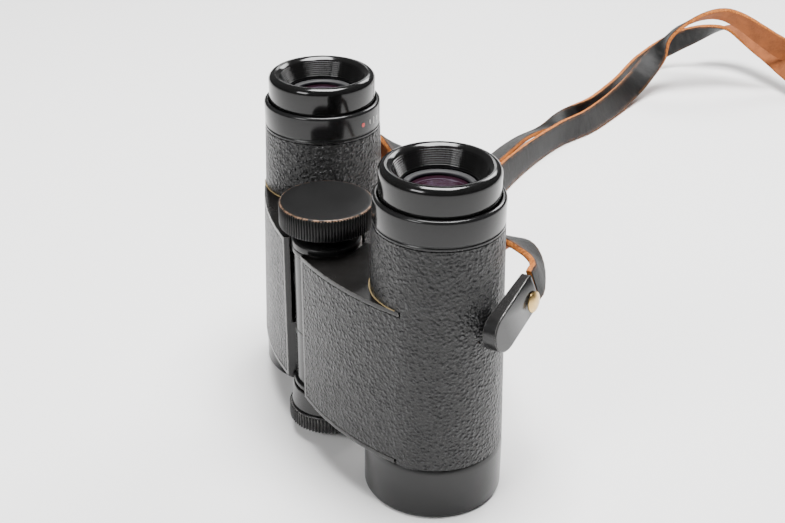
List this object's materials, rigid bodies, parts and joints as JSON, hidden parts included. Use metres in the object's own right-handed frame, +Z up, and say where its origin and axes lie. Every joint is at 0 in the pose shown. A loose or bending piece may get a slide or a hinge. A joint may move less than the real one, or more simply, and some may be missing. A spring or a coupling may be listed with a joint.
{
  "type": "binoculars",
  "caption": "Compact roof-prism binoculars in black leatherette, standing on their objective ends, with a focusing knob, a folding hinge and a leather neck strap.",
  "frame": {"origin": "middle of the footprint of the binoculars on the floor, without the strap", "axes": "+Z up along both optical axes, from the objective ends to the eyecups; +X towards the user's left half; -Y towards the hinge"},
  "size_m": [0.2724, 0.3838, 0.099],
  "materials": {
    "black_enamel": "semi-gloss, worn bright at the edges",
    "leatherette": "pebbled grain, satin",
    "anodised": "black anodised, semi-gloss",
    "hard_plastic": "gloss",
    "inner_black": "matte black",
    "bright_steel": "turned",
    "brass": "worn",
    "coated_glass": "polished, purple coating",
    "clear_glass": "polished",
    "strap_leather": "black grain side, tan edges and flesh side"
  },
  "bodies": {
    "left_half": {"left_body": "black_enamel", "left_cover": "leatherette", "left_objective_ring": "black_enamel", "left_objective_lens": "coated_glass", "left_objective_lock_ring": "inner_black", "left_prism_cage": "inner_black", "left_erecting_prism": "clear_glass", "left_roof_prism": "clear_glass", "left_field_stop": "inner_black", "left_eyepiece_ring": "anodised", "left_eyepiece_cell": "inner_black", "left_field_lens": "clear_glass", "left_eye_lens": "coated_glass", "left_eye_lens_ring": "bright_steel", "left_lug": "black_enamel", "left_lug_rivet": "brass", "hinge_collar": "anodised", "hinge_bush": "bright_steel", "hinge_washer": "anodised", "hinge_end_plug": "black_enamel", "strap": "strap_leather"},
    "right_half": {"right_body": "black_enamel", "right_cover": "leatherette", "right_objective_ring": "black_enamel", "right_objective_lens": "coated_glass", "right_objective_lock_ring": "inner_black", "right_prism_cage": "inner_black", "right_erecting_prism": "clear_glass", "right_roof_prism": "clear_glass", "right_field_stop": "inner_black", "right_lug": "black_enamel", "right_lug_rivet": "brass"},
    "focus_knob": {"focus_knob": "anodised"},
    "focus_spindle": {"focus_spindle": "bright_steel"},
    "left_focusing": {"left_focusing_cell": "inner_black", "left_focusing_lens": "clear_glass"},
    "right_focusing": {"right_focusing_cell": "inner_black", "right_focusing_lens": "clear_glass"},
    "dioptre_ring": {"right_dioptre_ring": "anodised"},
    "right_eyepiece": {"right_eyepiece_cell": "inner_black", "right_field_lens": "clear_glass", "right_eye_lens": "coated_glass", "right_eye_lens_ring": "bright_steel"},
    "left_eyecup": {"left_eyecup": "hard_plastic"},
    "right_eyecup": {"right_eyecup": "hard_plastic"},
    "cap_stud": {"cap_stud": "bright_steel"},
    "front_cap": {"front_cap": "anodised"}
  },
  "joints": [
    {"name": "fold", "type": "hinge", "parent": "left_half", "child": "right_half", "pos_m": [0, -0.01327, 0.0354], "axis": [0, 0, -1], "range_deg": [-7.6, 46], "deforming": ["strap"]},
    {"name": "focus", "type": "hinge", "parent": "left_half", "child": "focus_knob", "pos_m": [0, -0.01327, 0.0722], "axis": [0, 0, 1], "range_deg": [-108, 324]},
    {"name": "spindle_travel", "type": "slide", "parent": "left_half", "child": "focus_spindle", "axis": [0, 0, 1], "range_m": [-0.00135, 0.00405]},
    {"name": "left_focusing_travel", "type": "slide", "parent": "left_half", "child": "left_focusing", "axis": [0, 0, 1], "range_m": [-0.00135, 0.00405]},
    {"name": "right_focusing_travel", "type": "slide", "parent": "right_half", "child": "right_focusing", "axis": [0, 0, 1], "range_m": [-0.00135, 0.00405]},
    {"name": "dioptre", "type": "hinge", "parent": "right_half", "child": "dioptre_ring", "pos_m": [-0.03705, 0.00234, 0.0868], "axis": [0, 0, 1], "range_deg": [-25, 25]},
    {"name": "right_eyepiece_travel", "type": "slide", "parent": "right_half", "child": "right_eyepiece", "axis": [0, 0, 1], "range_m": [-0.001, 0.001]},
    {"name": "left_eyecup_push", "type": "slide", "parent": "left_half", "child": "left_eyecup", "axis": [0, 0, -1], "range_m": [0, 0.004]},
    {"name": "right_eyecup_push", "type": "slide", "parent": "right_eyepiece", "child": "right_eyecup", "axis": [0, 0, -1], "range_m": [0, 0.004]},
    {"name": "cap_stud_travel", "type": "slide", "parent": "left_half", "child": "cap_stud", "axis": [0, 0, -1], "range_m": [0, 0.00254]},
    {"name": "cap_screw", "type": "hinge", "parent": "cap_stud", "child": "front_cap", "pos_m": [0, -0.01327, 0.0065], "axis": [0, 0, -1], "range_deg": [0, 720]}
  ],
  "couplings": [
    {"joint": "focus", "follows": "spindle_travel", "rad_per_m": 1396.3},
    {"joint": "left_focusing_travel", "follows": "spindle_travel", "ratio": 1},
    {"joint": "right_focusing_travel", "follows": "spindle_travel", "ratio": 1},
    {"joint": "dioptre", "follows": "right_eyepiece_travel", "rad_per_m": 436.33},
    {"joint": "cap_screw", "follows": "cap_stud_travel", "rad_per_m": 4947.4}
  ]
}
